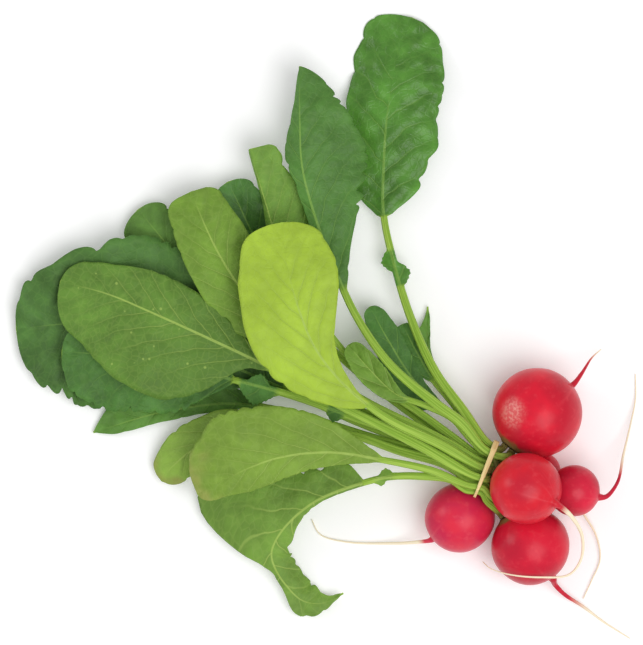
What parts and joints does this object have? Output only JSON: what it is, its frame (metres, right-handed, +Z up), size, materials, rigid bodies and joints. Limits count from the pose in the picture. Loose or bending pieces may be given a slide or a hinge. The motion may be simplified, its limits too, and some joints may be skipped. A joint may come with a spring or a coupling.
{
  "type": "bunch of radishes",
  "caption": "Bunch of round red radishes lying on a surface, with long thin roots, broad green leaves on thin stalks and a narrow band tied round the stalks.",
  "frame": {"origin": "on the surface, under the middle of the bunch", "axes": "+Z up from the surface; the tip of the tallest leaf is towards +Y and the roots towards +X"},
  "size_m": [0.2492, 0.251, 0.0478],
  "materials": {
    "radish_skin": "smooth red vegetable skin, softly glossy, white towards the root",
    "leaf_deep": "dark green leaf, satin, pale ribs",
    "leaf_mid": "mid green leaf, satin, pale ribs",
    "leaf_light": "light yellow-green leaf, satin, pale ribs",
    "tie_band": "pale tan, matt"
  },
  "bodies": {
    "root": {"radish_1": "radish_skin", "radish_2": "radish_skin", "radish_3": "radish_skin", "radish_4": "radish_skin", "radish_5": "radish_skin", "radish_6": "radish_skin", "leaf_1a": "leaf_deep", "leaf_1b": "leaf_deep", "leaf_1c": "leaf_deep", "leaf_1d": "leaf_deep", "leaf_2a": "leaf_light", "leaf_2b": "leaf_mid", "leaf_2c": "leaf_mid", "leaf_2d": "leaf_light", "leaf_3a": "leaf_deep", "leaf_3b": "leaf_mid", "leaf_4a": "leaf_mid", "leaf_4b": "leaf_deep", "leaf_5a": "leaf_light", "leaf_5b": "leaf_mid", "leaf_5c": "leaf_mid", "leaf_6a": "leaf_deep", "leaf_6b": "leaf_deep", "leaf_6c": "leaf_mid", "tie_band": "tie_band"}
  },
  "joints": []
}
